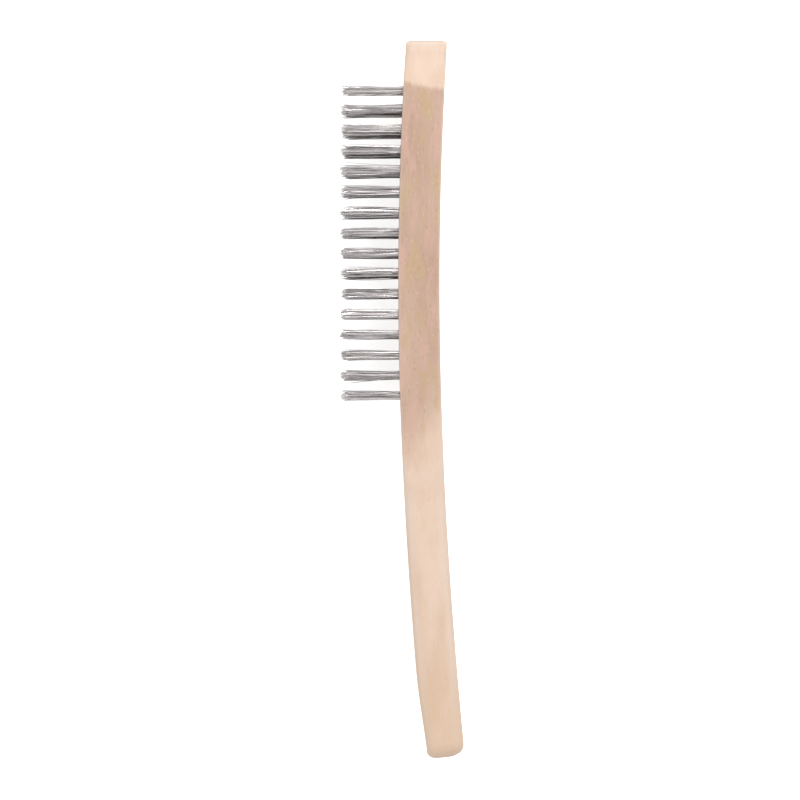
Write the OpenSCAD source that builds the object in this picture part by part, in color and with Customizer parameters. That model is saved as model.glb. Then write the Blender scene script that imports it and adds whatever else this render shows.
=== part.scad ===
// Curved-handle wire scratch brush: a one-piece hardwood handle with staple-set steel tufts.
// It lies on its side: nose to +Y, wires to -X, the sides of the block at z = 0 and z = block_w.
// The origin is the middle of the underside of its bounding box.

/* [Tufts] */
// Rows of tufts along the block
rows = 16; // [8:1:20]
// Tufts across a full row
columns = 4; // [2:1:5]
// Tufts in the first row, where the nose narrows
nose_columns = 2; // [1:1:2]
// Distance from one row to the next
row_pitch = 10.16; // [8:0.02:13]
// Free length of the longest wire at the crown of the block
trim = 29.6; // [18:0.1:40]
// Most that a wire end falls short of the trim plane
ragged = 1.6; // [0:0.1:3]
// Strands around the middle one in each tuft
ring_strands = 6; // [4:1:8]
// Diameter of a strand, which stands for ten fine wires
strand_d = 0.88; // [0.6:0.02:1]

/* [Tuft holes] */
// Diameter of a tuft hole
hole_d = 4.4; // [3.6:0.1:5.4]
// Depth of a tuft hole
hole_depth = 13; // [9:0.5:16]
// Wood between one hole and the next across the block
column_wall = 1.95; // [1.6:0.05:3]
// Wood between an outer hole and the side of the block
side_wall = 2.57; // [1.5:0.01:5]
// Gap between a tuft and the wall of its hole
tuft_clear = 0.05; // [0.02:0.01:0.15]
// Most that a hole wanders from its place, as in hand-fed drilling
drill_wander = 0.3; // [0:0.05:0.35]

/* [Anchors] */
// Thickness of the flat anchor wire
anchor_t = 0.5; // [0.3:0.05:0.8]
// Height of the flat anchor wire
anchor_h = 2; // [1.2:0.1:3]
// How far each end of an anchor bites into the wood
anchor_bite = 0.5; // [0.2:0.05:0.5]
// Thickness of the folded wires under and over an anchor
fold_t = 0.6; // [0.4:0.05:1.2]
// Gap between an anchor and the wires that it holds
anchor_clear = 0.04; // [0.02:0.01:0.15]

/* [Wood] */
// Thickness of the wood from the wire face to the back
wood_t = 20.5; // [17:0.1:26]
// How far each side of the nose stands back from the block
nose_inset = 2.1; // [0:0.1:3]
// How far each side of the handle stands back from the block
grip_inset = 3.3; // [0:0.1:5]
// End of the nose to the first row of tufts
nose_to_row = 24.7; // [16:0.1:30]
// Last row of tufts to the start of the shoulder
row_to_shoulder = 20.6; // [8:0.2:30]
// Length over which the shoulder narrows
shoulder_len = 38; // [20:1:60]
// Start of the shoulder to the butt of the handle
grip_len = 161.2; // [110:0.2:200]
// End of the nose to the crown of the curve
nose_to_crown = 121.7; // [80:0.1:150]
// Crown of the curve to the point where it eases
crown_to_ease = 88; // [40:1:150]
// Radius of the curve through the block
block_bow = 1880; // [1200:10:4000]
// Radius of the curve through the handle
grip_bow = 2900; // [2000:10:8000]

/* [Edges] */
// Eased edges of the block
block_edge = 1.2; // [0.6:0.1:3]
// Rounded edges of the nose
nose_edge = 3.2; // [1:0.1:5]
// Rounded edges of the handle
grip_edge = 5.4; // [2:0.1:8]
// Rounding of the nose, seen from the side
nose_round = 1.7; // [0.5:0.1:5]
// Rounding of the nose, seen from the back
nose_corner = 7; // [2:0.5:9]
// Rounding of the butt on the wire side
butt_front = 3.4; // [1:0.1:7]
// Rounding of the butt on the back
butt_back = 6.6; // [1:0.1:7]
// Rounding of the butt, seen from the back
butt_corner = 8.5; // [2:0.5:8.5]
// Thinning of the butt on the wire side
butt_taper = 1.8; // [0:0.1:3]
// Length of that thinning
butt_taper_len = 46; // [10:1:60]

/* [Hidden] */
$fn = 32;

wander_seed = 41;
ragged_seed = 17;
corner_steps = 5;    // flats round each edge of the wood
end_step = 15;       // degrees between sections round the nose and the butt
shoulder_steps = 8;  // sections along the shoulder
grip_steps = 12;     // sections along the handle
over = 1;            // how far a drill starts outside the face
degrees = 180 / PI;

column_pitch = hole_d + column_wall;
block_w = (columns - 1) * column_pitch + hole_d + 2 * side_wall;
block_len = nose_to_row + (rows - 1) * row_pitch + row_to_shoulder;
wood_len = block_len + grip_len;
bundle_d = hole_d - 2 * tuft_clear;
strand_ring_r = (bundle_d - strand_d) / 2 - tuft_clear;
anchor_len = hole_d + 2 * anchor_bite;
root_h = 2 * fold_t + anchor_h + anchor_clear;

function row_name(kind, row) = str(kind, row < 10 ? "_0" : "_", row);
function row_at(row) = nose_to_row + (row - 1) * row_pitch;

// The curve of the wood. d is the distance from the end of the nose, u the distance from
// the middle of the wood towards its back.
function past_ease(d) = d - nose_to_crown - crown_to_ease;
function bow_angle(d) =
    past_ease(d) < 0 ? (nose_to_crown - d) / block_bow * degrees
    : -(crown_to_ease / block_bow + past_ease(d) / grip_bow) * degrees;
function bow_radius(d) = past_ease(d) < 0 ? block_bow : grip_bow;
function facing(angle) = [cos(angle), -sin(angle)];
ease_facing = facing(-crown_to_ease / block_bow * degrees);
function bow_centre(d) =
    [block_bow, 0] + (past_ease(d) < 0 ? [0, 0] : (grip_bow - block_bow) * ease_facing);
function on_curve(d, u) = bow_centre(d) - (bow_radius(d) - u) * facing(bow_angle(d));

// The size of the section at distance d from the end of the nose.
function smooth(x) = let (t = max(0, min(1, x))) t * t * (3 - 2 * t);
function between(a, b, x) = a + (b - a) * smooth(x);
function rounding(r, d) = d < r ? r - sqrt(r * r - (r - d) * (r - d)) : 0;
function half_width(d) =
    block_w / 2
    - between(nose_inset, 0, (d - nose_corner) / (nose_to_row - nose_corner))
    - between(0, grip_inset, (d - block_len) / shoulder_len)
    - rounding(nose_corner, d) - rounding(butt_corner, wood_len - d);
function edge(d) =
    d < block_len ? between(nose_edge, block_edge, d / nose_to_row)
    : between(block_edge, grip_edge, (d - block_len) / shoulder_len);
function front(d) =
    -wood_t / 2 + rounding(nose_round, d) + rounding(butt_front, wood_len - d)
    + between(butt_taper, 0, (wood_len - d) / butt_taper_len);
function back(d) = wood_t / 2 - rounding(nose_round, d) - rounding(butt_back, wood_len - d);

// Where sections stand, from the nose to the butt. Each row of tufts has a flat of its own.
straight_grip = grip_len - shoulder_len - butt_corner;
sections = [
    for (a = [0:end_step:90]) nose_corner * (1 - cos(a)),
    between(nose_corner, nose_to_row, 0.5),
    nose_to_row,
    for (row = [1:rows]) row_at(row) + row_pitch / 2,
    for (i = [0:shoulder_steps]) block_len + shoulder_len * i / shoulder_steps,
    for (i = [1:grip_steps - 1]) block_len + shoulder_len + straight_grip * i / grip_steps,
    for (a = [90:-end_step:0]) wood_len - butt_corner * (1 - cos(a))
];

function corner(u, w, r, start) = [
    for (i = [0:corner_steps])
        let (a = start + 90 * i / corner_steps) [u + r * cos(a), w + r * sin(a)]
];
function section(d) =
    let (
        w = half_width(d),
        r = min(edge(d), 0.9 * w, 0.45 * (back(d) - front(d))),
        lo = front(d) + r,
        hi = back(d) - r
    )
    concat(
        corner(hi, w - r, r, 0), corner(lo, w - r, r, 90),
        corner(lo, r - w, r, 180), corner(hi, r - w, r, 270)
    );

// The nose is cut square to the length, so its sections lean back out of the curve.
nose_lean = nose_to_crown / block_bow;
function lean(d) = between(nose_lean, 0, d / nose_to_row);
function set_in_place(d) = [
    for (p = section(d))
        let (q = on_curve(d - lean(d) * p[0], p[0])) [q[0], q[1], block_w / 2 + p[1]]
];

ring = 4 * (corner_steps + 1);
last_ring = ring * (len(sections) - 1);
wood_points = [for (d = sections) each set_in_place(d)];
wood_faces = [
    [for (i = [0:ring - 1]) i],
    for (s = [0:ring:last_ring - ring], i = [0:ring - 1])
        let (a = s + i, b = s + (i + 1) % ring)
        each [[a, a + ring, b + ring], [a, b + ring, b]],
    [for (i = [ring - 1:-1:0]) last_ring + i]
];

// The mouth of the hole for each tuft, and how its strands end.
function columns_in(row) = row == 1 ? nose_columns : columns;
wander = rands(-drill_wander, drill_wander, 2 * rows * columns, wander_seed);
function mouth(row, column) =
    let (
        flat = on_curve(row_at(row), -wood_t / 2),
        off_middle = column - (columns_in(row) - 1) / 2,
        i = 2 * ((row - 1) * columns + column)
    )
    [flat[0], flat[1] + wander[i],
     block_w / 2 + off_middle * column_pitch + wander[i + 1]];
strands = ring_strands + 1;
short_by = rands(0, ragged, rows * columns * strands, ragged_seed);

trim_x = on_curve(nose_to_crown, -wood_t / 2)[0] - trim;
high_x = max([for (p = wood_points) p[0]]);
high_y = max([for (p = wood_points) p[1]]);
low_y = min([for (p = wood_points) p[1]]);
to_origin = -[trim_x + high_x, low_y + high_y, 0] / 2;

// Puts its children at the mouth of each hole in a row, with +Z along the wires.
module at_holes(row) {
    for (column = [0:columns_in(row) - 1]) {
        $column = column;
        translate(to_origin + mouth(row, column)) rotate([0, -90, 0]) children();
    }
}

// An anchor lies across the grain, on the fold at the bottom of its hole.
module anchor(clear = 0) {
    translate([-anchor_len / 2, -anchor_t / 2 - clear, fold_t - hole_depth])
        cube([anchor_len, anchor_t + 2 * clear, anchor_h + clear]);
}

// Wires folded round an anchor at the bottom of the hole, then strands out to the trim plane.
module tuft(row, column) {
    reach = mouth(row, column)[0] - trim_x;
    strand_from = root_h - fold_t / 2 - hole_depth;
    first = ((row - 1) * columns + column) * strands;
    difference() {
        translate([0, 0, -hole_depth]) cylinder(d = bundle_d, h = root_h);
        anchor(anchor_clear);
    }
    for (i = [0:ring_strands])
        rotate([0, 0, 360 * (i + 0.5) / ring_strands])
            translate([i < ring_strands ? strand_ring_r : 0, 0, strand_from])
                cylinder(d = strand_d, h = reach - short_by[first + i] - strand_from);
}

module handle() {
    color("#dcb799")
        difference() {
            translate(to_origin) polyhedron(wood_points, wood_faces, convexity = 4);
            for (row = [1:rows])
                at_holes(row) {
                    translate([0, 0, -hole_depth]) cylinder(d = hole_d, h = hole_depth + over);
                    anchor();
                }
        }
}

module tuft_row(row) {
    color("#8d8f91") at_holes(row) tuft(row, $column);
}

module anchor_row(row) {
    color("#b4b6b8") at_holes(row) anchor();
}

handle();
for (row = [1:rows]) {
    tuft_row(row);
    anchor_row(row);
}
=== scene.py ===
import math

import bpy
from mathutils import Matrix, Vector


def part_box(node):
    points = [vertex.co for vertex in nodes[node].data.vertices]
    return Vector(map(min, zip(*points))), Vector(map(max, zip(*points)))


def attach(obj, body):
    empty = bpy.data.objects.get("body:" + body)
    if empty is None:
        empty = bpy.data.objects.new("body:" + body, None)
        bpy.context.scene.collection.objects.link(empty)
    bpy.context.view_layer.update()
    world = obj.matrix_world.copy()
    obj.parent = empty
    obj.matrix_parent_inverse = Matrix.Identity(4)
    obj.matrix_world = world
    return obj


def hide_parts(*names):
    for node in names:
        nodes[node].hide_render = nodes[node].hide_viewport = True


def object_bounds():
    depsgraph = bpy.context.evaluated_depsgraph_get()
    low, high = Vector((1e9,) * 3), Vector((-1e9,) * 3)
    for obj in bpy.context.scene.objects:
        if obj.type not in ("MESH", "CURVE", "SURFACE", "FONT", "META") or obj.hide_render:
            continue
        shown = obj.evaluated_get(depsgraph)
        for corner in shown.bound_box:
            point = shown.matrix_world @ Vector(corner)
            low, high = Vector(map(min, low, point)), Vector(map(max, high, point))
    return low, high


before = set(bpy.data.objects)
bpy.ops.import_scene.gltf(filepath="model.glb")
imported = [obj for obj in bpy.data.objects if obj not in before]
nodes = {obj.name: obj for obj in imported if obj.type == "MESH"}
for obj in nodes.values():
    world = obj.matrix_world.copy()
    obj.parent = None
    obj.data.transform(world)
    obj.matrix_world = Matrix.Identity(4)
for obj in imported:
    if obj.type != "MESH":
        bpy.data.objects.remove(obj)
cadLow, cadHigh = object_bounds()
bodyName = "root"
mm = 0.001


# adds one node to a shape tree or a material, with its settings, and its sockets as values or links
def addNode(tree, kind, settings=None, sockets=None):
    node = tree.nodes.new(kind)
    for name, value in (settings or {}).items():
        setattr(node, name, value)
    for name, value in (sockets or {}).items():
        if isinstance(value, bpy.types.NodeSocket):
            tree.links.new(value, node.inputs[name])
        else:
            node.inputs[name].default_value = value
    return node


def linearColour(hexCode):
    channels = [int(hexCode[i:i + 2], 16) / 255 for i in (1, 3, 5)]
    return (*[c / 12.92 if c < 0.04045 else ((c + 0.055) / 1.055) ** 2.4 for c in channels], 1.0)


# a Geometry Nodes tree with a geometry socket and one named input for each value given
def newShapeTree(name, values):
    kinds = {
        float: "NodeSocketFloat", int: "NodeSocketInt", tuple: "NodeSocketVector",
        bpy.types.Material: "NodeSocketMaterial"}
    tree = bpy.data.node_groups.new(name, "GeometryNodeTree")
    tree.interface.new_socket("Geometry", in_out="INPUT", socket_type="NodeSocketGeometry")
    for label, value in values.items():
        tree.interface.new_socket(label, in_out="INPUT", socket_type=kinds[type(value)])
    tree.interface.new_socket("Geometry", in_out="OUTPUT", socket_type="NodeSocketGeometry")
    return tree, tree.nodes.new("NodeGroupInput")


# adds the sums of a shape or a material to its tree: each step is a name, what it does and one to
# three operands, which are numbers or the names of values, inputs and earlier steps
def addSteps(tree, known, steps):
    for name, operation, *operands in steps:
        sockets = {i: known.get(o, o) for i, o in enumerate(operands)}
        known[name] = addNode(tree, "ShaderNodeMath", {"operation": operation}, sockets).outputs[0]


# runs a tree on a mesh of bare points and keeps what it makes as a plain mesh
def makePiece(name, points, tree, values, nodeNames):
    start = bpy.data.meshes.new(name)
    start.from_pydata(points, [], [])
    piece = bpy.data.objects.new(name, start)
    bpy.context.scene.collection.objects.link(piece)
    modifier = piece.modifiers.new(tree.name, "NODES")
    modifier.node_group = tree
    for item in tree.interface.items_tree:
        if item.in_out == "INPUT" and item.name in values:
            modifier[item.identifier] = values[item.name]
    graph = bpy.context.evaluated_depsgraph_get()
    piece.data = bpy.data.meshes.new_from_object(
        piece.evaluated_get(graph), preserve_all_data_layers=True, depsgraph=graph)
    piece.modifiers.clear()
    piece.data.name = name
    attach(piece, bodyName)
    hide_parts(*nodeNames)
    return piece


# Floor, light and camera

studio = {
    "floorSize": 12.0,
    "floorColour": "#fbfbfa",
    "floorRoughness": 0.9,
    "floorGlow": 0.82,             # the paper is lit through for the camera only, so no shadow greys it
    "skyColour": "#f6f7fa",
    "skyStrength": 0.84,
    "keyPower": 11.0,
    "keySize": 0.7,
    "keyPlace": (0.35, 1.0, 1.3),
    "fillPower": 1.4,
    "fillSize": 1.2,
    "fillPlace": (-0.9, -0.4, 1.1),
    "cameraHeight": 0.90,          # over the upper side of the brush
    "cameraPlace": (-0.7 * mm, 0.0),
    "viewWidth": 0.3956,           # what the frame takes in at that side
    "sensor": 36.0,
    "nearestSeen": 0.01,
}


def newMaterial(name):
    material = bpy.data.materials.new(name)
    material.use_nodes = True
    tree = material.node_tree
    return material, tree, tree.nodes["Principled BSDF"]


# links what a material has worked out to its shader, with the relief that its surface shows
def finishMaterial(tree, shader, colour, roughness, height, values):
    tree.links.new(colour, shader.inputs["Base Color"])
    tree.links.new(roughness, shader.inputs["Roughness"])
    relief = addNode(tree, "ShaderNodeBump", sockets={
        "Strength": values["relief"], "Distance": values["reliefDepth"], "Height": height})
    tree.links.new(relief.outputs[0], shader.inputs["Normal"])


# a round lamp that points at the origin
def addLight(name, power, size, place):
    light = bpy.data.lights.new(name, "AREA")
    light.shape = "DISK"
    light.energy = power
    light.size = size
    lamp = bpy.data.objects.new(name, light)
    lamp.location = place
    lamp.rotation_euler = (-Vector(place)).to_track_quat("-Z", "Y").to_euler()
    bpy.context.scene.collection.objects.link(lamp)


def buildStudio():
    half = studio["floorSize"] / 2
    floorMesh = bpy.data.meshes.new("floor")
    floorMesh.from_pydata(
        [(-half, -half, 0), (half, -half, 0), (half, half, 0), (-half, half, 0)], [], [(0, 1, 2, 3)])
    floor = bpy.data.objects.new("floor", floorMesh)
    bpy.context.scene.collection.objects.link(floor)
    material, tree, shader = newMaterial("paper backdrop, matt, lit from below")
    shader.inputs["Base Color"].default_value = linearColour(studio["floorColour"])
    shader.inputs["Roughness"].default_value = studio["floorRoughness"]
    shader.inputs["Emission Color"].default_value = linearColour(studio["floorColour"])
    ray = addNode(tree, "ShaderNodeLightPath")
    glow = addNode(tree, "ShaderNodeMath", {"operation": "MULTIPLY"}, {
        0: ray.outputs["Is Camera Ray"], 1: studio["floorGlow"]})
    tree.links.new(glow.outputs[0], shader.inputs["Emission Strength"])
    floorMesh.materials.append(material)

    world = bpy.data.worlds.new("soft studio")
    world.use_nodes = True
    sky = world.node_tree.nodes["Background"]
    sky.inputs["Color"].default_value = linearColour(studio["skyColour"])
    sky.inputs["Strength"].default_value = studio["skyStrength"]
    bpy.context.scene.world = world
    addLight("key", studio["keyPower"], studio["keySize"], studio["keyPlace"])
    addLight("fill", studio["fillPower"], studio["fillSize"], studio["fillPlace"])

    camera = bpy.data.cameras.new("camera")
    camera.sensor_width = studio["sensor"]
    camera.lens = studio["sensor"] * studio["cameraHeight"] / studio["viewWidth"]
    camera.clip_start = studio["nearestSeen"]
    viewer = bpy.data.objects.new("camera", camera)
    viewer.location = (*studio["cameraPlace"], cadHigh.z + studio["cameraHeight"])
    bpy.context.scene.collection.objects.link(viewer)
    bpy.context.scene.camera = viewer
    bpy.context.scene.view_settings.view_transform = "Standard"
    print("studio: floor, sky, 2 lights, camera")


buildStudio()


# Where the tufts stand, read from the CAD rows

tuftRows = [f"tuft_row_{row:02d}" for row in range(1, 17)]
holeDepth = 13 * mm
tuftSpace = 0.5 * mm               # a step across the row wider than this lies between two tufts


# the middle of each hole of a row, at the face of the wood
def tuftMouths(nodeName):
    corners = sorted((tuple(v.co) for v in nodes[nodeName].data.vertices), key=lambda c: c[2])
    tufts = [[corners[0]]]
    for corner in corners[1:]:
        if corner[2] - tufts[-1][-1][2] > tuftSpace:
            tufts.append([])
        tufts[-1].append(corner)
    mouths = []
    for tuft in tufts:
        ys = [c[1] for c in tuft]
        zs = [c[2] for c in tuft]
        bottom = max(c[0] for c in tuft)
        mouths.append((bottom - holeDepth, (min(ys) + max(ys)) / 2, (min(zs) + max(zs)) / 2))
    return mouths


mouths = {name: tuftMouths(name) for name in tuftRows}
print("tufts found:", sum(len(m) for m in mouths.values()))


# Wood

wood = {
    "Sections": 420,
    "Around": 40,                  # a multiple of 4
    "Seam": 0.002 * mm,            # points closer than this are one
    "Thickness": 20.5 * mm,
    "Block Width": cadHigh.z - cadLow.z,
    "Nose Inset": 2.1 * mm,
    "Grip Inset": 3.3 * mm,
    "Length": 358.9 * mm,
    "Nose To Row": 24.7 * mm,
    "Block Length": 197.7 * mm,
    "Shoulder": 38.0 * mm,
    "Nose To Crown": 121.7 * mm,
    "Crown To Ease": 88.0 * mm,
    "Block Bow": 1880 * mm,
    "Grip Bow": 2900 * mm,
    "Block Edge": 1.2 * mm,
    "Nose Edge": 3.2 * mm,
    "Grip Edge": 5.4 * mm,
    "Edge Share": 0.9,             # the most of a half width that an edge's radius takes
    "Nose Round": 1.7 * mm,
    "Nose Corner": 7.0 * mm,
    "Butt Front": 3.4 * mm,
    "Butt Back": 6.6 * mm,
    "Butt Corner": 8.5 * mm,
    "Butt Taper": 1.8 * mm,
    "Butt Taper Length": 46.0 * mm,
    "Hole Diameter": 4.4 * mm,
    "Hole Depth": holeDepth,
    "Hole Sides": 28,
    "Rim Angle": math.radians(40),  # edges sharper than this aren't shaded smooth
}
# what each point of the wood keeps for its material: "along" runs from the nose to the butt, "deep" from
# the middle to the back, and "corner" is 1 in the middle of a rounded edge
woodNames = ("along", "deep", "corner")

sectionSteps = [
    ("swing", "MULTIPLY", "u", math.pi),
    ("cosSwing", "COSINE", "swing"),
    ("share", "MULTIPLY_ADD", "cosSwing", -0.5, 0.5),
    ("along", "MULTIPLY", "share", "Length"),
    ("toButt", "SUBTRACT", "Length", "along"),
]
for name, radius, distance in (
        ("noseCornerCut", "Nose Corner", "along"), ("noseRoundCut", "Nose Round", "along"),
        ("buttCornerCut", "Butt Corner", "toButt"), ("buttFrontCut", "Butt Front", "toButt"),
        ("buttBackCut", "Butt Back", "toButt")):
    sectionSteps += [
        (name + "Left", "SUBTRACT", radius, distance),
        (name + "Rest", "MAXIMUM", name + "Left", 0.0),
        (name + "Less", "SUBTRACT", radius, name + "Rest"),
        (name + "More", "ADD", radius, name + "Rest"),
        (name + "Square", "MULTIPLY", name + "Less", name + "More"),
        (name + "Root", "SQRT", name + "Square"),
        (name, "SUBTRACT", radius, name + "Root"),
    ]
# smooth changes of a size along the wood: name, distance, where it starts and ends, and its two values
sectionBlends = [
    ("noseIn", "along", "Nose Corner", "Nose To Row", "Nose Inset", 0.0),
    ("gripIn", "along", "Block Length", "shoulderEnd", 0.0, "Grip Inset"),
    ("noseEdge", "along", 0.0, "Nose To Row", "Nose Edge", "Block Edge"),
    ("gripEdge", "along", "Block Length", "shoulderEnd", 0.0, "edgeGrowth"),
    ("taper", "toButt", 0.0, "Butt Taper Length", "Butt Taper", 0.0),
    ("lean", "along", 0.0, "Nose To Row", "noseLean", 0.0),
]
shapeSteps = [
    ("halfBlock", "MULTIPLY", "Block Width", 0.5),
    ("halfA", "SUBTRACT", "halfBlock", "noseIn"),
    ("halfB", "SUBTRACT", "halfA", "gripIn"),
    ("halfC", "SUBTRACT", "halfB", "noseCornerCut"),
    ("halfWide", "SUBTRACT", "halfC", "buttCornerCut"),
    ("halfThick", "MULTIPLY", "Thickness", 0.5),
    ("frontA", "SUBTRACT", "noseRoundCut", "halfThick"),
    ("frontB", "ADD", "frontA", "buttFrontCut"),
    ("front", "ADD", "frontB", "taper"),
    ("backA", "SUBTRACT", "halfThick", "noseRoundCut"),
    ("back", "SUBTRACT", "backA", "buttBackCut"),
    ("middleSum", "ADD", "front", "back"),
    ("middle", "MULTIPLY", "middleSum", 0.5),
    ("deepSum", "SUBTRACT", "back", "front"),
    ("halfDeep", "MULTIPLY", "deepSum", 0.5),
    ("edgeWanted", "ADD", "noseEdge", "gripEdge"),
    ("edgeWide", "MULTIPLY", "halfWide", "Edge Share"),
    ("edgeDeep", "MULTIPLY", "halfDeep", "Edge Share"),
    ("edgeLimit", "MINIMUM", "edgeWide", "edgeDeep"),
    ("edge", "MINIMUM", "edgeWanted", "edgeLimit"),
    # four corners, each with points from one flat to the next
    ("turns", "MULTIPLY", "v", 4.0),
    ("quarter", "FLOOR", "turns"),
    ("inQuarter", "FRACT", "turns"),
    ("spread", "MULTIPLY", "inQuarter", "stretch"),
    ("turned", "ADD", "quarter", "spread"),
    ("angle", "MULTIPLY", "turned", math.pi / 2),
    ("quarterMiddle", "MULTIPLY_ADD", "quarter", math.pi / 2, math.pi / 4),
    ("cosAngle", "COSINE", "angle"),
    ("sinAngle", "SINE", "angle"),
    ("cosMiddle", "COSINE", "quarterMiddle"),
    ("sinMiddle", "SINE", "quarterMiddle"),
    ("deepSide", "MULTIPLY", "cosMiddle", math.sqrt(2)),
    ("wideSide", "MULTIPLY", "sinMiddle", math.sqrt(2)),
    ("deepFlat", "SUBTRACT", "halfDeep", "edge"),
    ("wideFlat", "SUBTRACT", "halfWide", "edge"),
    ("deepCorner", "MULTIPLY", "edge", "cosAngle"),
    ("wideCorner", "MULTIPLY", "edge", "sinAngle"),
    ("deepOpen", "MULTIPLY_ADD", "deepSide", "deepFlat", "deepCorner"),
    ("wideOpen", "MULTIPLY_ADD", "wideSide", "wideFlat", "wideCorner"),
    # the first and last rings shrink to a point and close the ends
    ("afterStart", "GREATER_THAN", "u", "endShare"),
    ("beforeEnd", "LESS_THAN", "u", "startShare"),
    ("open", "MULTIPLY", "afterStart", "beforeEnd"),
    ("deepShut", "MULTIPLY", "deepOpen", "open"),
    ("deep", "ADD", "deepShut", "middle"),
    ("wide", "MULTIPLY", "wideOpen", "open"),
    # the curve: one radius through the block, an easier one through the handle, and a square nose
    ("leanBack", "MULTIPLY", "lean", "deep"),
    ("station", "SUBTRACT", "along", "leanBack"),
    ("past", "SUBTRACT", "Nose To Crown", "station"),
    ("minusEase", "MULTIPLY", "Crown To Ease", -1.0),
    ("firstPart", "MAXIMUM", "past", "minusEase"),
    ("secondPart", "SUBTRACT", "past", "firstPart"),
    ("firstTurn", "DIVIDE", "firstPart", "Block Bow"),
    ("secondTurn", "DIVIDE", "secondPart", "Grip Bow"),
    ("turn", "ADD", "firstTurn", "secondTurn"),
    ("cosFirst", "COSINE", "firstTurn"),
    ("sinFirst", "SINE", "firstTurn"),
    ("cosTurn", "COSINE", "turn"),
    ("sinTurn", "SINE", "turn"),
    ("easedBow", "SUBTRACT", "Grip Bow", "Block Bow"),
    ("gripLess", "SUBTRACT", "deep", "Grip Bow"),
    ("xFirst", "MULTIPLY", "cosFirst", "easedBow"),
    ("xBow", "ADD", "xFirst", "Block Bow"),
    ("x", "MULTIPLY_ADD", "cosTurn", "gripLess", "xBow"),
    ("ySum", "MULTIPLY", "sinFirst", "easedBow"),
    ("yTurn", "MULTIPLY", "sinTurn", "gripLess"),
    ("yBoth", "ADD", "ySum", "yTurn"),
    ("y", "MULTIPLY", "yBoth", -1.0),
    ("z", "ADD", "wide", "halfBlock"),
    ("doubleAngle", "MULTIPLY", "angle", 2.0),
    ("cornerWave", "SINE", "doubleAngle"),
    ("corner", "ABSOLUTE", "cornerWave"),
]


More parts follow.
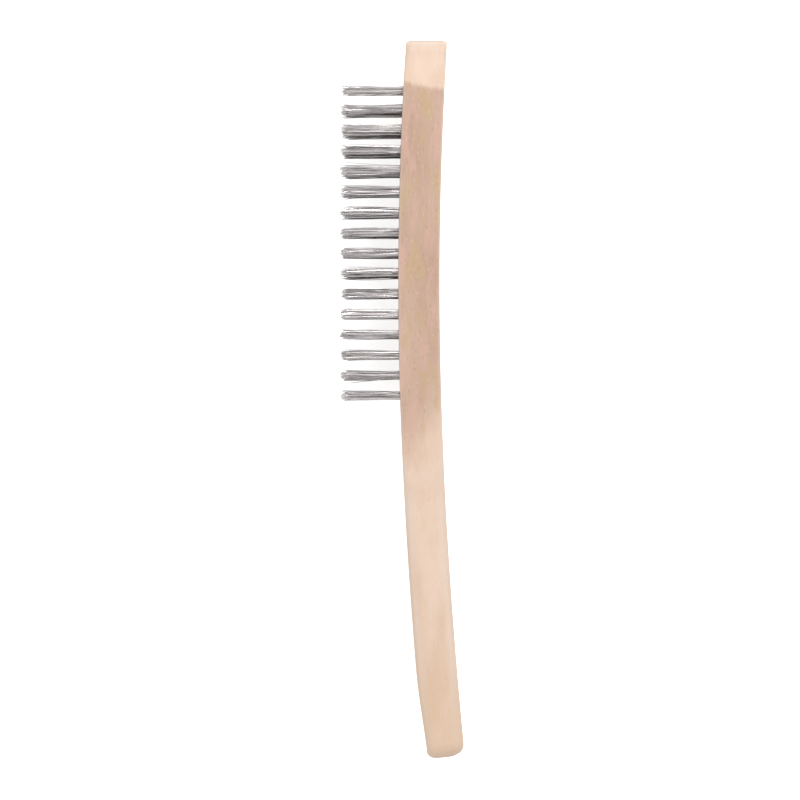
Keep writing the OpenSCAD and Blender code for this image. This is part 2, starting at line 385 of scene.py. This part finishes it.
def buildWoodTree(values):
    tree, given = newShapeTree("shapedHandle", values)
    around = addNode(tree, "ShaderNodeMath", {"operation": "ADD"}, {0: given.outputs["Around"], 1: 1.0})
    grid = addNode(tree, "GeometryNodeMeshGrid", sockets={
        "Vertices X": given.outputs["Sections"], "Vertices Y": around.outputs[0]})
    uv = addNode(tree, "ShaderNodeSeparateXYZ", sockets={0: grid.outputs["UV Map"]})
    known = {"u": uv.outputs["X"], "v": uv.outputs["Y"]}
    known.update({label: given.outputs[label] for label in wood})

    addSteps(tree, known, [
        ("shoulderEnd", "ADD", "Block Length", "Shoulder"),
        ("edgeGrowth", "SUBTRACT", "Grip Edge", "Block Edge"),
        ("noseLean", "DIVIDE", "Nose To Crown", "Block Bow"),
        ("endShare", "DIVIDE", 0.5, "Sections"),
        ("startShare", "SUBTRACT", 1.0, "endShare"),
        ("perQuarter", "MULTIPLY", "Around", 0.25),
        ("gaps", "SUBTRACT", "perQuarter", 1.0),
        ("stretch", "DIVIDE", "perQuarter", "gaps"),
    ])
    addSteps(tree, known, sectionSteps)
    for name, distance, start, end, first, last in sectionBlends:
        sockets = {i: known.get(o, o) for i, o in enumerate((distance, start, end, first, last))}
        known[name] = addNode(
            tree, "ShaderNodeMapRange", {"interpolation_type": "SMOOTHSTEP"}, sockets).outputs[0]
    addSteps(tree, known, shapeSteps)

    place = addNode(tree, "ShaderNodeCombineXYZ", sockets={a.upper(): known[a] for a in "xyz"})
    geometry = grid.outputs["Mesh"]
    for label in woodNames:
        geometry = addNode(tree, "GeometryNodeStoreNamedAttribute", {"domain": "POINT"}, {
            "Geometry": geometry, "Name": label, "Value": known[label]}).outputs[0]
    shaped = addNode(tree, "GeometryNodeSetPosition", sockets={
        "Geometry": geometry, "Position": place.outputs[0]})
    closed = addNode(tree, "GeometryNodeMergeByDistance", sockets={
        "Geometry": shaped.outputs[0], "Distance": given.outputs["Seam"]})
    extent = addNode(tree, "GeometryNodeBoundBox", sockets={"Geometry": closed.outputs[0]})
    shift = addNode(tree, "ShaderNodeVectorMath", {"operation": "SUBTRACT"}, {
        0: given.outputs["Low Corner"], 1: extent.outputs["Min"]})
    seated = addNode(tree, "GeometryNodeTransform", sockets={
        "Geometry": closed.outputs[0], "Translation": shift.outputs[0]})
    outward = addNode(tree, "GeometryNodeFlipFaces", sockets={"Mesh": seated.outputs[0]})

    addSteps(tree, known, [
        ("holeRadius", "MULTIPLY", "Hole Diameter", 0.5),
        ("drillLength", "MULTIPLY", "Hole Depth", 2.0),
    ])
    drill = addNode(tree, "GeometryNodeMeshCylinder", sockets={
        "Vertices": given.outputs["Hole Sides"], "Radius": known["holeRadius"],
        "Depth": known["drillLength"]})
    drills = addNode(tree, "GeometryNodeInstanceOnPoints", sockets={
        "Points": given.outputs["Geometry"], "Instance": drill.outputs["Mesh"],
        "Rotation": (0, math.pi / 2, 0)})
    drillMeshes = addNode(tree, "GeometryNodeRealizeInstances", sockets={0: drills.outputs[0]})
    drilled = addNode(tree, "GeometryNodeMeshBoolean", {"operation": "DIFFERENCE", "solver": "MANIFOLD"}, {
        "Mesh 1": outward.outputs[0], "Mesh 2": drillMeshes.outputs[0]})
    # the drills bring no such values to the rims, so every point takes them from the undrilled wood
    geometry = drilled.outputs[0]
    position = addNode(tree, "GeometryNodeInputPosition")
    for label in woodNames:
        whole = addNode(
            tree, "GeometryNodeInputNamedAttribute", {"data_type": "FLOAT"}, {"Name": label})
        near = addNode(tree, "GeometryNodeSampleNearestSurface", {"data_type": "FLOAT"}, {
            "Mesh": outward.outputs[0], "Value": whole.outputs[0], "Sample Position": position.outputs[0]})
        geometry = addNode(tree, "GeometryNodeStoreNamedAttribute", {"domain": "POINT"}, {
            "Geometry": geometry, "Name": label, "Value": near.outputs[0]}).outputs[0]
    bend = addNode(tree, "GeometryNodeInputMeshEdgeAngle")
    rim = addNode(tree, "ShaderNodeMath", {"operation": "GREATER_THAN"}, {
        0: bend.outputs["Unsigned Angle"], 1: given.outputs["Rim Angle"]})
    sharp = addNode(tree, "GeometryNodeSetShadeSmooth", {"domain": "EDGE"}, {
        "Geometry": geometry, "Selection": rim.outputs[0], "Shade Smooth": False})
    realized = addNode(tree, "GeometryNodeRealizeInstances", sockets={0: sharp.outputs[0]})
    coloured = addNode(tree, "GeometryNodeSetMaterial", sockets={
        "Geometry": realized.outputs[0], "Material": given.outputs["Material"]})
    addNode(tree, "NodeGroupOutput", sockets={0: coloured.outputs[0]})
    return tree


beech = {
    "planed": "#cbad99",           # the block, as the planer left it
    "planedDeep": "#b3917a",
    "sanded": "#e5cab4",           # the nose and the grip, sanded paler
    "sandedDeep": "#d9ba9f",
    "buttDark": "#d2b08c",          # darker towards the butt end
    "edgeShade": "#e4d6ca",             # painted shade, greyer on the rounded edges and the tip of the nose
    "rosy": "#cfa794",
    "tan": "#c3a57f",
    "fleck": "#a37f63",
    "paleFleck": "#f6e2cd",
    "endGrain": "#d5bda8",
    # where the finish changes, measured from the end of the nose
    "noseSanded": 25.4 * mm,       # up to here along the back
    "noseSandedArc": 3.2 * mm,     # and this much less along the wire side
    "noseFade": 1.6 * mm,
    "noseTip": 8 * mm,             # painted shade, greyer from here to the end
    "gripSandedFront": 203 * mm,   # from here on along the wire side
    "gripSandedBack": 183 * mm,    # and from here on along the back
    "gripFade": 19 * mm,
    "limitWander": 4 * mm,         # how far the fibre moves these limits
    "buttDarkFrom": 290 * mm,
    "buttDarkTo": 345 * mm,
    # sizes of the patterns, three of them in x, y and z; the fibre is drawn coarser than beech's own,
    # which is too fine to show
    "ringWidth": 2.6 * mm,
    "ringDrift": 2.2 * mm,
    "fibre": (0.32 * mm, 9 * mm, 0.32 * mm),
    "rays": (0.6 * mm, 3.4 * mm, 9 * mm),
    "blotch": (16 * mm, 55 * mm, 16 * mm),
    "cloud": (5 * mm, 19 * mm, 5 * mm),
    "torn": (2.6 * mm, 0.55 * mm, 2.6 * mm),
    # how much of the deep tone there is, and what each pattern changes in it
    "evenDepth": 0.28,
    "ringDepth": 0.22,
    "fibreDepth": 0.9,
    "blotchDepth": 2.8,
    # how strongly each tone is laid over the wood
    "cloudsSanded": 0.10,
    "cloudsPlaned": 0.62,          # this much more
    "flecksSanded": 0.16,
    "flecksPlaned": 0.40,          # this much more
    "flecksOnFaces": -0.75,        # and this much less on the wire face and the back
    "paleFlecks": 0.25,
    "nickStrength": 0.6,
    "endRingsEven": 0.20,
    "endRingsDepth": 0.18,
    "endPoreStrength": 0.45,
    # painted shade on the rounded edges and at the nose tip
    "cornerShadeStrength": 0.28,
    "tipShadeStrength": 0.5,
    "buttDarkStrength": 0.42,
    "roughnessSanded": 0.50,
    "roughnessPlaned": 0.10,       # this much more
    "roughnessFibre": 0.16,
    "fleckRelief": -0.5,           # of the height of the fibre
    "relief": 0.5,
    "reliefDepth": 0.06 * mm,
}
# marks on the wood: the value each comes from, where in it the mark starts and where it is full
beechMarks = {
    "fleckShape": ("ray", 0.42, 0.16),
    "darkOnes": ("rayChance", 0.60, 0.95),
    "paleOnes": ("paleChance", 0.82, 0.95),
    "nickShape": ("nick", 0.40, 0.20),
    "nickOnes": ("nickChance", 0.965, 1.0),
    "rosyOnes": ("cloud", 0.50, 0.66),
    "tanOnes": ("cloud", 0.50, 0.34),
    "poreOnes": ("fibre", 0.48, 0.62),
    "endFace": ("ended", 0.75, 0.95),
    "towardButt": ("along", beech["buttDarkFrom"], beech["buttDarkTo"]),
    "atTip": ("along", beech["noseTip"], 0.0),
}
# the tones laid over the wood, in order: how much of each, and its name
beechLayers = (
    # the greyer edge tone is painted shade on the rounded edges and the nose tip
    ("rosyAmount", "rosy"), ("tanAmount", "tan"), ("edgeShadeAmount", "edgeShade"), ("buttDarkAmount", "buttDark"),
    ("darkAmount", "fleck"), ("paleAmount", "paleFleck"), ("nickAmount", "sanded"),
    ("endFace", "endGrain"), ("endRings", "planedDeep"), ("endPores", "planedDeep"))


# beech: diffuse pale pink brown, with even fine fibre along the length, ray flecks that are short on the
# sides and faint on the faces, and growth rings and pores on the end grain; planed it is duller and
# deeper, clouded rosy and tan, with a few pale nicks across the grain, and sanded it is pale and silky
def beechMaterial(name):
    material, tree, shader = newMaterial(name)
    where = addNode(tree, "ShaderNodeTexCoord")
    place = addNode(tree, "ShaderNodeSeparateXYZ", sockets={0: where.outputs["Object"]})
    facing = addNode(tree, "ShaderNodeSeparateXYZ", sockets={0: where.outputs["Normal"]})
    known = {label: value for label, value in beech.items() if isinstance(value, float)}
    known.update({
        "z": place.outputs["Z"], "facingX": facing.outputs["X"], "facingY": facing.outputs["Y"]})
    for label in woodNames:
        known[label] = addNode(tree, "ShaderNodeAttribute", {"attribute_name": label}).outputs["Fac"]

    patterns = {}
    for pattern, kind, sockets in (
            ("fibre", "ShaderNodeTexNoise", {"Detail": 3.0, "Roughness": 0.6}),
            ("blotch", "ShaderNodeTexNoise", {"Detail": 2.0}),
            ("cloud", "ShaderNodeTexNoise", {"Detail": 3.0}),
            ("rays", "ShaderNodeTexVoronoi", {"Randomness": 1.0}),
            ("torn", "ShaderNodeTexVoronoi", {"Randomness": 1.0})):
        scaled = addNode(tree, "ShaderNodeMapping", sockets={
            "Vector": where.outputs["Object"], "Scale": tuple(1 / size for size in beech[pattern])})
        patterns[pattern] = addNode(
            tree, kind, sockets={"Vector": scaled.outputs[0], "Scale": 1.0, **sockets}).outputs
    rayChances = addNode(tree, "ShaderNodeSeparateColor", sockets={0: patterns["rays"]["Color"]})
    nickChances = addNode(tree, "ShaderNodeSeparateColor", sockets={0: patterns["torn"]["Color"]})
    known.update({
        "fibre": patterns["fibre"]["Fac"], "blotch": patterns["blotch"]["Fac"],
        "cloud": patterns["cloud"]["Fac"], "ray": patterns["rays"]["Distance"],
        "rayChance": rayChances.outputs[0], "paleChance": rayChances.outputs[1],
        "nick": patterns["torn"]["Distance"], "nickChance": nickChances.outputs[0]})

    gripSlope = (beech["gripSandedFront"] - beech["gripSandedBack"]) / wood["Thickness"]
    addSteps(tree, known, [
        ("drift", "MULTIPLY_ADD", "blotch", "ringDrift", "z"),
        ("ringPhase", "MULTIPLY", "drift", 2 * math.pi / beech["ringWidth"]),
        ("ring", "SINE", "ringPhase"),
        ("fromBack", "MULTIPLY_ADD", "deep", -1 / wood["Thickness"], 0.5),
        ("fromBackSquare", "MULTIPLY", "fromBack", "fromBack"),
        ("wander", "MULTIPLY_ADD", "fibre", "limitWander", "along"),
        ("noseEnd", "MULTIPLY_ADD", "fromBackSquare", "noseSandedArc", "wander"),
        ("gripStart", "MULTIPLY_ADD", "deep", gripSlope, "wander"),
        ("ended", "ABSOLUTE", "facingY"),
    ])
    wandered = beech["limitWander"] / 2
    noseLimit = beech["noseSanded"] + wandered
    gripLimit = (beech["gripSandedFront"] + beech["gripSandedBack"]) / 2 + wandered
    marks = {
        **beechMarks,
        "pastNose": ("noseEnd", noseLimit - beech["noseFade"], noseLimit + beech["noseFade"]),
        "beforeGrip": ("gripStart", gripLimit + beech["gripFade"], gripLimit - beech["gripFade"]),
    }
    for mark, (value, start, full) in marks.items():
        known[mark] = addNode(
            tree, "ShaderNodeMapRange", {"interpolation_type": "SMOOTHSTEP"},
            {0: known[value], 1: start, 2: full}).outputs[0]
    addSteps(tree, known, [
        ("planed", "MULTIPLY", "pastNose", "beforeGrip"),
        ("clouded", "MULTIPLY_ADD", "planed", "cloudsPlaned", "cloudsSanded"),
        ("rosyAmount", "MULTIPLY", "rosyOnes", "clouded"),
        ("tanAmount", "MULTIPLY", "tanOnes", "clouded"),
        ("nickPlaned", "MULTIPLY", "nickOnes", "planed"),
        ("nickWhole", "MULTIPLY", "nickShape", "nickPlaned"),
        ("nickAmount", "MULTIPLY", "nickWhole", "nickStrength"),
        ("endRing", "MULTIPLY_ADD", "ring", "endRingsDepth", "endRingsEven"),
        ("endRings", "MULTIPLY", "endRing", "endFace"),
        ("endPore", "MULTIPLY", "poreOnes", "endFace"),
        ("endPores", "MULTIPLY", "endPore", "endPoreStrength"),
        ("figure", "MULTIPLY_ADD", "ring", "ringDepth", "evenDepth"),
        ("fibreShade", "MULTIPLY_ADD", "fibre", "fibreDepth", -beech["fibreDepth"] / 2),
        ("blotchShade", "MULTIPLY_ADD", "blotch", "blotchDepth", -beech["blotchDepth"] / 2),
        ("fibreFigure", "ADD", "figure", "fibreShade"),
        ("toneDepth", "ADD", "fibreFigure", "blotchShade"),
        # the wire face and the back cut the rays along their length, where they are broad but faint
        ("onFace", "ABSOLUTE", "facingX"),
        ("fleckStrength", "MULTIPLY_ADD", "onFace", "flecksOnFaces", 1.0),
        ("fleckSeen", "MULTIPLY", "fleckShape", "fleckStrength"),
        ("fleckPlaned", "MULTIPLY_ADD", "planed", "flecksPlaned", "flecksSanded"),
        ("fleckDark", "MULTIPLY", "fleckSeen", "darkOnes"),
        ("darkAmount", "MULTIPLY", "fleckDark", "fleckPlaned"),
        ("fleckPale", "MULTIPLY", "fleckSeen", "paleOnes"),
        ("paleAmount", "MULTIPLY", "fleckPale", "paleFlecks"),
        # painted shade: the rounded edges and the nose tip are laid greyer
        ("cornerShade", "MULTIPLY", "corner", "cornerShadeStrength"),
        ("tipShade", "MULTIPLY", "atTip", "tipShadeStrength"),
        ("edgeShadeAmount", "MAXIMUM", "cornerShade", "tipShade"),
        # the grip laid darker towards the butt end
        ("buttDarkAmount", "MULTIPLY", "towardButt", "buttDarkStrength"),
        ("roughFinish", "MULTIPLY_ADD", "planed", "roughnessPlaned", "roughnessSanded"),
        ("rough", "MULTIPLY_ADD", "fibre", "roughnessFibre", "roughFinish"),
        ("height", "MULTIPLY_ADD", "fleckDark", "fleckRelief", "fibre"),
    ])
    finishes = [
        addNode(tree, "ShaderNodeMix", {"data_type": "RGBA"}, {
            0: known["toneDepth"], 6: linearColour(beech[finish]), 7: linearColour(beech[finish + "Deep"])})
        for finish in ("sanded", "planed")]
    colour = addNode(tree, "ShaderNodeMix", {"data_type": "RGBA"}, {
        0: known["planed"], 6: finishes[0].outputs[2], 7: finishes[1].outputs[2]})
    for amount, tone in beechLayers:
        colour = addNode(tree, "ShaderNodeMix", {"data_type": "RGBA"}, {
            0: known[amount], 6: colour.outputs[2], 7: linearColour(beech[tone])})
    finishMaterial(tree, shader, colour.outputs[2], known["rough"], known["height"], beech)
    return material


woodValues = {
    **wood,
    "Low Corner": tuple(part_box("handle")[0]),
    "Material": beechMaterial("beech, planed block and sanded grip"),
}
handle = makePiece(
    "handle_wood", [p for name in tuftRows for p in mouths[name]],
    buildWoodTree(woodValues), woodValues, ["handle"])
print("wood:", len(handle.data.polygons), "faces")


# Wire tufts

wires = {
    "Wires": 56,                   # in each tuft
    "Wire Diameter": 0.34 * mm,
    "Wire Sides": 5,
    "Wire Parts": 8,               # along its length
    "Bundle Diameter": 4.32 * mm,
    "Tuft Turn": 1.7,              # from one tuft of a row to the next, in radians
    "Root Depth": 12.8 * mm,       # how far into its hole a wire goes
    "Anchor Room": 0.45 * mm,      # wires keep this far from the middle of the anchor
    "Step Aside": -3.5,            # how soon under the mouth they do: -1 would be a free length down
    "Trim": cadLow.x,
    "Least Short": 0.1 * mm,       # how far under the trim the tips end
    "Most Short": 4.6 * mm,
    "Few Long": 0.6,               # the smaller, the fewer wires reach the trim
    "Rim Short": 0.3 * mm,         # more for the wires round the rim
    "Lean": 0.95 * mm,             # at the tip
    "Bow": 0.45 * mm,
    "Curl": 0.8 * mm,              # in the last of the wire
    "Stray Lean": 0.0,             # one wire by the upper side that leaves its tuft
    "Seed": 0,
}
# rows with a wire that strays, and how far its tip goes towards the nose
strays = {2: 0.05 * mm, 5: 1.3 * mm, 8: -0.9 * mm, 15: -2.7 * mm}
# what chance gives each wire: the number of the draw, its least and its most
wireDraws = {
    "chance": (0, 0.0, 1.0),
    "tint": (1, 0.0, 1.0),
    "rolled": (2, 0.0, 2 * math.pi),
    "randomLeanY": (4, -1.0, 1.0),
    "randomLeanZ": (5, -1.0, 1.0),
    "randomBowY": (6, -1.0, 1.0),
    "randomBowZ": (7, -1.0, 1.0),
}
# what a wire keeps for its bends, once its root has moved into the hole
wireNames = ("randomLeanY", "randomLeanZ", "randomBowY", "randomBowZ", "rootY", "mouth", "strayLeans")

# wires fill the bundle in the order of seeds in a sunflower
goldenAngle = math.pi * (3 - math.sqrt(5))
bundleSteps = [
    ("share", "ADD", "wire", 0.5),
    ("shareOfAll", "DIVIDE", "share", "Wires"),
    ("outward", "SQRT", "shareOfAll"),
    ("room", "SUBTRACT", "Bundle Diameter", "Wire Diameter"),
    ("reach", "MULTIPLY", "room", 0.5),
    ("distance", "MULTIPLY", "outward", "reach"),
    ("tuftTurn", "MULTIPLY", "tuft", "Tuft Turn"),
    ("rowTurn", "ADD", "tuftTurn", "Seed"),
    ("angle", "MULTIPLY_ADD", "wire", goldenAngle, "rowTurn"),
    ("cosAngle", "COSINE", "angle"),
    ("sinAngle", "SINE", "angle"),
    ("yDisc", "MULTIPLY", "distance", "cosAngle"),
    ("zDisc", "MULTIPLY", "distance", "sinAngle"),
    # the last wire of the last tuft is the one that strays
    ("lastWire", "SUBTRACT", "Wires", 1.5),
    ("isLast", "GREATER_THAN", "wire", "lastWire"),
    ("lastTuft", "SUBTRACT", "tufts", 1.5),
    ("isTop", "GREATER_THAN", "tuft", "lastTuft"),
    ("strays", "ABSOLUTE", "Stray Lean"),
    ("anyStray", "GREATER_THAN", "strays", 0.0),
    ("isBoth", "MULTIPLY", "isLast", "isTop"),
    ("stray", "MULTIPLY", "isBoth", "anyStray"),
    ("strayLeans", "MULTIPLY", "stray", "Stray Lean"),
    ("straySide", "SIGN", "Stray Lean"),
    ("strayY", "MULTIPLY", "straySide", "reach"),
    ("toStray", "SUBTRACT", "strayY", "yDisc"),
    ("rootY", "MULTIPLY_ADD", "stray", "toStray", "yDisc"),
    ("stay", "SUBTRACT", 1.0, "stray"),
    ("rootZ", "MULTIPLY", "zDisc", "stay"),
    # how short of the trim the tip ends
    ("uneven", "POWER", "chance", "Few Long"),
    ("spare", "SUBTRACT", "Most Short", "Least Short"),
    ("shortBy", "MULTIPLY_ADD", "uneven", "spare", "Least Short"),
    ("rimShort", "MULTIPLY_ADD", "shareOfAll", "Rim Short", "shortBy"),
    ("short", "MULTIPLY", "rimShort", "stay"),
    ("tip", "ADD", "Trim", "short"),
    ("root", "ADD", "mouth", "Root Depth"),
    ("length", "SUBTRACT", "root", "tip"),
]
# out of the wood a wire leans and bows; in it, it stands off the anchor
wireSteps = [
    ("out", "SUBTRACT", "mouth", "x"),
    ("free", "SUBTRACT", "mouth", "Trim"),
    ("outShare", "DIVIDE", "out", "free"),
    ("t", "MAXIMUM", "outShare", 0.0),
    ("tLess", "SUBTRACT", 1.0, "t"),
    ("bowShape", "MULTIPLY", "t", "tLess"),
    ("bowFour", "MULTIPLY", "bowShape", 4.0),
    ("leanOut", "MULTIPLY", "t", "Lean"),
    ("bowOut", "MULTIPLY", "bowFour", "Bow"),
    ("leanY", "MULTIPLY", "leanOut", "randomLeanY"),
    ("leanZ", "MULTIPLY", "leanOut", "randomLeanZ"),
    ("bowY", "MULTIPLY", "bowOut", "randomBowY"),
    ("bowZ", "MULTIPLY", "bowOut", "randomBowZ"),
    ("tSquare", "MULTIPLY", "t", "t"),
    ("tFourth", "MULTIPLY", "tSquare", "tSquare"),
    ("tEighth", "MULTIPLY", "tFourth", "tFourth"),
    ("curl", "MULTIPLY", "tEighth", "Curl"),
    ("bentY", "ADD", "leanY", "bowY"),
    ("bentZ", "ADD", "leanZ", "bowZ"),
    ("moveY", "MULTIPLY_ADD", "curl", "randomBowZ", "bentY"),
    ("moveZ", "MULTIPLY_ADD", "curl", "randomBowY", "bentZ"),
    ("strayMove", "MULTIPLY", "strayLeans", "t"),
    ("moveAll", "ADD", "moveY", "strayMove"),
    ("in", "MULTIPLY", "outShare", "Step Aside"),
    ("inLeast", "MAXIMUM", "in", 0.0),
    ("inShare", "MINIMUM", "inLeast", 1.0),
    ("side", "SIGN", "rootY"),
    ("fromMiddle", "ABSOLUTE", "rootY"),
    ("lack", "SUBTRACT", "Anchor Room", "fromMiddle"),
    ("lackMore", "MAXIMUM", "lack", 0.0),
    ("aside", "MULTIPLY", "lackMore", "side"),
    ("asideIn", "MULTIPLY", "aside", "inShare"),
    ("offsetY", "ADD", "moveAll", "asideIn"),
]


def buildTuftTree(values):
    tree, given = newShapeTree("wireTufts", values)
    known = {label: given.outputs[label] for label in wires}
    index = addNode(tree, "GeometryNodeInputIndex")
    position = addNode(tree, "GeometryNodeInputPosition")
    counted = addNode(tree, "GeometryNodeAttributeDomainSize", {"component": "MESH"}, {
        0: given.outputs["Geometry"]})
    keepTuft = addNode(tree, "GeometryNodeStoreNamedAttribute", {"data_type": "INT"}, {
        "Geometry": given.outputs["Geometry"], "Name": "tuft", "Value": index.outputs[0]})
    wirePoints = addNode(tree, "GeometryNodeDuplicateElements", {"domain": "POINT"}, {
        "Geometry": keepTuft.outputs[0], "Amount": given.outputs["Wires"]})
    tuft = addNode(tree, "GeometryNodeInputNamedAttribute", {"data_type": "INT"}, {"Name": "tuft"})
    mouth = addNode(tree, "ShaderNodeSeparateXYZ", sockets={0: position.outputs[0]})
    known.update({
        "wire": wirePoints.outputs["Duplicate Index"], "tuft": tuft.outputs["Attribute"],
        "tufts": counted.outputs["Point Count"], "mouth": mouth.outputs["X"]})
    for label, (number, least, most) in wireDraws.items():
        seed = addNode(tree, "ShaderNodeMath", {"operation": "MULTIPLY_ADD"}, {
            0: given.outputs["Seed"], 1: 10.0, 2: float(number)})
        known[label] = addNode(tree, "FunctionNodeRandomValue", {"data_type": "FLOAT"}, {
            2: least, 3: most, "ID": index.outputs[0], "Seed": seed.outputs[0]}).outputs[1]
    addSteps(tree, known, bundleSteps)

    geometry = wirePoints.outputs["Geometry"]
    for label in (*wireNames, "tint"):
        geometry = addNode(tree, "GeometryNodeStoreNamedAttribute", {"domain": "POINT"}, {
            "Geometry": geometry, "Name": label, "Value": known[label]}).outputs[0]
    # the length is kept too, because it is measured from the mouth
    stretch = addNode(tree, "ShaderNodeCombineXYZ", sockets={"X": known["length"], "Y": 1.0, "Z": 1.0})
    keepLength = addNode(tree, "GeometryNodeStoreNamedAttribute", {
        "domain": "POINT", "data_type": "FLOAT_VECTOR"}, {
        "Geometry": geometry, "Name": "stretch", "Value": stretch.outputs[0]})
    toRoot = addNode(tree, "ShaderNodeCombineXYZ", sockets={
        "X": given.outputs["Root Depth"], "Y": known["rootY"], "Z": known["rootZ"]})
    spread = addNode(tree, "GeometryNodeSetPosition", sockets={
        "Geometry": keepLength.outputs[0], "Offset": toRoot.outputs[0]})

    radius = addNode(tree, "ShaderNodeMath", {"operation": "MULTIPLY"}, {
        0: given.outputs["Wire Diameter"], 1: 0.5})
    rod = addNode(tree, "GeometryNodeMeshCylinder", sockets={
        "Vertices": given.outputs["Wire Sides"], "Side Segments": given.outputs["Wire Parts"],
        "Radius": radius.outputs[0], "Depth": 1.0})
    flatTip = addNode(tree, "GeometryNodeSetShadeSmooth", {"domain": "FACE"}, {
        "Geometry": rod.outputs["Mesh"], "Selection": rod.outputs["Top"], "Shade Smooth": False})
    laid = addNode(tree, "GeometryNodeTransform", sockets={
        "Geometry": flatTip.outputs[0], "Translation": (-0.5, 0, 0), "Rotation": (0, -math.pi / 2, 0)})
    turn = addNode(tree, "ShaderNodeCombineXYZ", sockets={"X": known["rolled"]})
    scale = addNode(
        tree, "GeometryNodeInputNamedAttribute", {"data_type": "FLOAT_VECTOR"}, {"Name": "stretch"})
    bundle = addNode(tree, "GeometryNodeInstanceOnPoints", sockets={
        "Points": spread.outputs[0], "Instance": laid.outputs[0],
        "Rotation": turn.outputs[0], "Scale": scale.outputs["Attribute"]})
    realized = addNode(tree, "GeometryNodeRealizeInstances", sockets={0: bundle.outputs[0]})

    for label in wireNames:
        known[label] = addNode(
            tree, "GeometryNodeInputNamedAttribute", {"data_type": "FLOAT"}, {"Name": label}).outputs[0]
    known["x"] = mouth.outputs["X"]
    addSteps(tree, known, wireSteps)
    move = addNode(tree, "ShaderNodeCombineXYZ", sockets={"Y": known["offsetY"], "Z": known["moveZ"]})
    bent = addNode(tree, "GeometryNodeSetPosition", sockets={
        "Geometry": realized.outputs[0], "Offset": move.outputs[0]})
    coloured = addNode(tree, "GeometryNodeSetMaterial", sockets={
        "Geometry": bent.outputs[0], "Material": given.outputs["Material"]})
    addNode(tree, "NodeGroupOutput", sockets={0: coloured.outputs[0]})
    return tree


wireSteel = {
    "dark": "#b3adaa",
    "bright": "#fffbfa",
    "roughness": 0.28,
    "drawLine": (6 * mm, 0.12 * mm, 0.12 * mm),  # coarser than real, or it wouldn't show
    "lineShade": 0.5,
    "lineRoughness": 0.2,
    "relief": 0.25,
    "reliefDepth": 0.01 * mm,
}


# high-carbon steel wire, drawn: grey, each wire its own shade, with a soft sheen and fine lines along it
def wireMaterial(name):
    material, tree, shader = newMaterial(name)
    where = addNode(tree, "ShaderNodeTexCoord")
    tint = addNode(tree, "ShaderNodeAttribute", {"attribute_name": "tint"})
    scaled = addNode(tree, "ShaderNodeMapping", sockets={
        "Vector": where.outputs["Object"], "Scale": tuple(1 / size for size in wireSteel["drawLine"])})
    lines = addNode(tree, "ShaderNodeTexNoise", sockets={
        "Vector": scaled.outputs[0], "Scale": 1.0, "Detail": 2.0})
    known = {"tint": tint.outputs["Fac"], "lines": lines.outputs["Fac"]}
    addSteps(tree, known, [
        ("shade", "MULTIPLY_ADD", "lines", wireSteel["lineShade"], -wireSteel["lineShade"] / 2),
        ("tone", "ADD", "tint", "shade"),
        ("smoothest", "SUBTRACT", wireSteel["roughness"], wireSteel["lineRoughness"] / 2),
        ("rough", "MULTIPLY_ADD", "lines", wireSteel["lineRoughness"], "smoothest"),
    ])
    colour = addNode(tree, "ShaderNodeMix", {"data_type": "RGBA"}, {
        0: known["tone"], 6: linearColour(wireSteel["dark"]), 7: linearColour(wireSteel["bright"])})
    shader.inputs["Metallic"].default_value = 1.0
    finishMaterial(tree, shader, colour.outputs[2], known["rough"], known["lines"], wireSteel)
    return material


tuftValues = {**wires, "Material": wireMaterial("steel wire, drawn")}
tuftTree = buildTuftTree(tuftValues)
for row, nodeName in enumerate(tuftRows, 1):
    rowValues = {**tuftValues, "Seed": row, "Stray Lean": strays.get(row, 0.0)}
    tufts = makePiece(
        f"wires_row_{row:02d}", mouths[nodeName], tuftTree, rowValues, [nodeName])
print("wire tufts:", len(tuftRows), "rows,", len(tufts.data.polygons), "faces in the last")


# Anchors, which stay as the CAD has them

anchorSteel = {
    "dull": "#8f9194",
    "bright": "#c3c6c9",
    "roughness": 0.42,
    "spangle": 0.35 * mm,
    "rollLine": (0.1 * mm, 0.1 * mm, 3 * mm),  # coarser than real, or it wouldn't show
    "lineRoughness": 0.2,
    "relief": 0.3,
    "reliefDepth": 0.01 * mm,
}


# low-carbon steel wire, rolled flat and galvanised: blue grey, with small zinc crystals and rolling lines
def anchorMaterial(name):
    material, tree, shader = newMaterial(name)
    where = addNode(tree, "ShaderNodeTexCoord")
    crystals = addNode(tree, "ShaderNodeTexVoronoi", sockets={
        "Vector": where.outputs["Object"], "Scale": 1 / anchorSteel["spangle"]})
    scaled = addNode(tree, "ShaderNodeMapping", sockets={
        "Vector": where.outputs["Object"], "Scale": tuple(1 / size for size in anchorSteel["rollLine"])})
    lines = addNode(tree, "ShaderNodeTexNoise", sockets={"Vector": scaled.outputs[0], "Scale": 1.0})
    crystalShade = addNode(tree, "ShaderNodeSeparateColor", sockets={0: crystals.outputs["Color"]})
    colour = addNode(tree, "ShaderNodeMix", {"data_type": "RGBA"}, {
        0: crystalShade.outputs[0],
        6: linearColour(anchorSteel["dull"]), 7: linearColour(anchorSteel["bright"])})
    known = {"lines": lines.outputs["Fac"]}
    addSteps(tree, known, [
        ("smoothest", "SUBTRACT", anchorSteel["roughness"], anchorSteel["lineRoughness"] / 2),
        ("rough", "MULTIPLY_ADD", "lines", anchorSteel["lineRoughness"], "smoothest"),
    ])
    shader.inputs["Metallic"].default_value = 1.0
    finishMaterial(tree, shader, colour.outputs[2], known["rough"], known["lines"], anchorSteel)
    return material


flatSteel = anchorMaterial("flat steel wire, galvanised")
anchors = [node for name, node in nodes.items() if name.startswith("anchor_row_")]
for anchor in anchors:
    anchor.data.materials.clear()
    anchor.data.materials.append(flatSteel)
print("anchors:", len(anchors), "rows")
